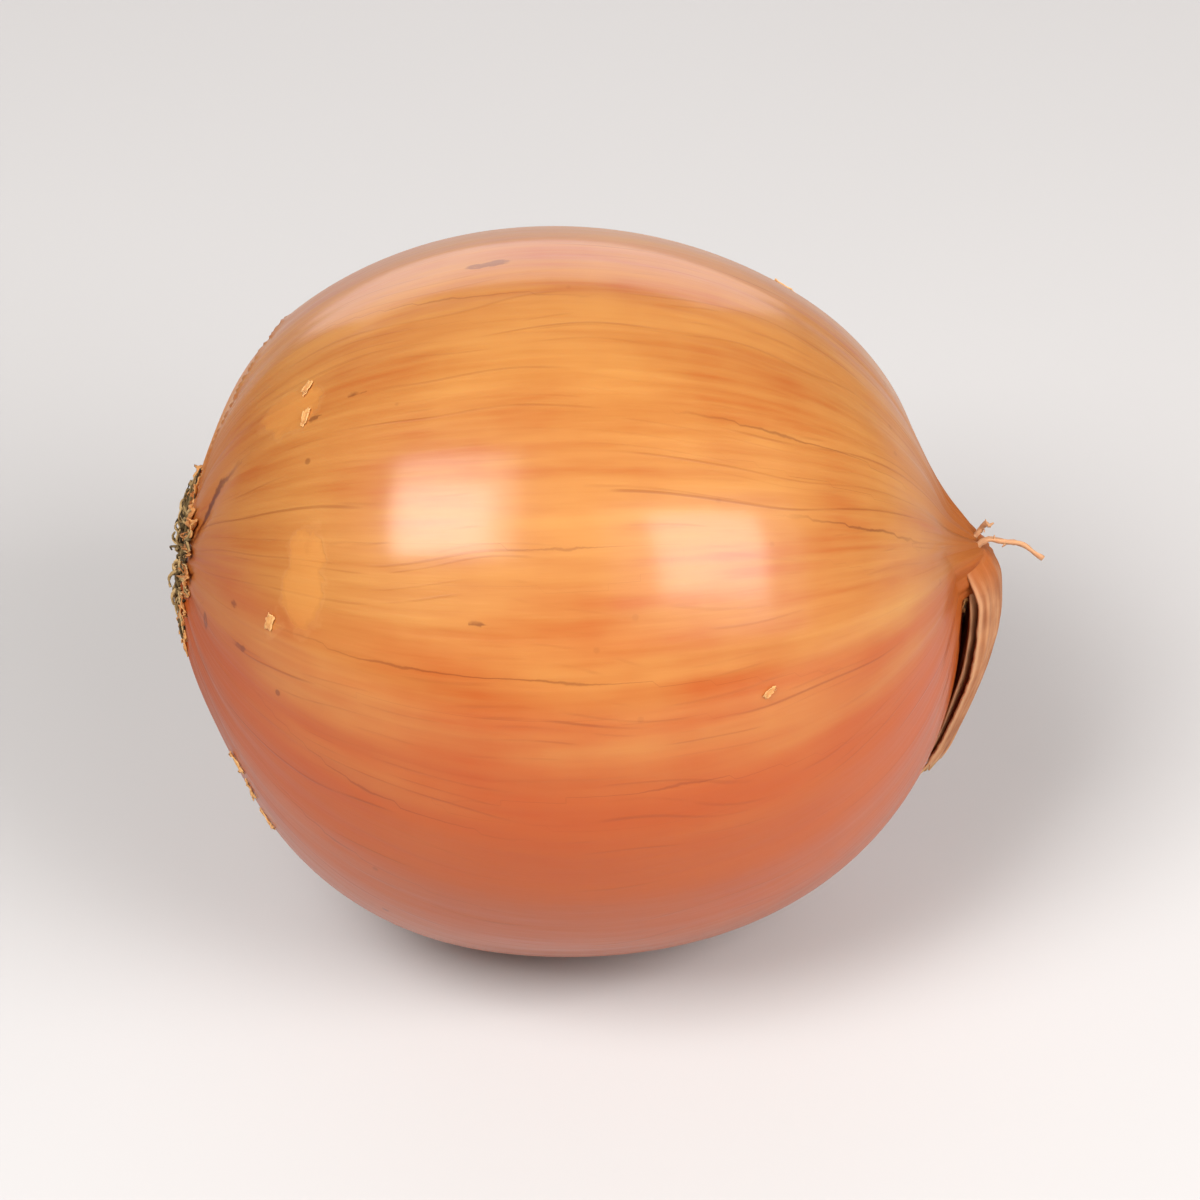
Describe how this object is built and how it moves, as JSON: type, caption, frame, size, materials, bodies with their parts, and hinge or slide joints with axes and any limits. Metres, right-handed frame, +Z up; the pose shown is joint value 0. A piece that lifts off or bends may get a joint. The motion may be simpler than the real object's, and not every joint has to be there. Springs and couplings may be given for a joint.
{
  "type": "onion",
  "caption": "Brown cooking onion lying on its side, with a dry folded neck, low lengthwise pleats in its skin and a trimmed root tuft; a vegetable for display or play.",
  "frame": {"origin": "centre of the small flat spot that the onion rests on, under its bulb", "axes": "+X along the bulb from the root plate to the neck, +Z up, -Y towards the side it is mostly seen from"},
  "size_m": [0.091, 0.0754, 0.0757],
  "materials": {
    "skin": "thin dry glossy skin with fine lengthwise veins",
    "neck": "dull dry papery leaf",
    "roots": "rough dry matted roots"
  },
  "bodies": {
    "root": {"bulb": "skin", "neck": "neck", "roots": "roots"}
  },
  "joints": []
}
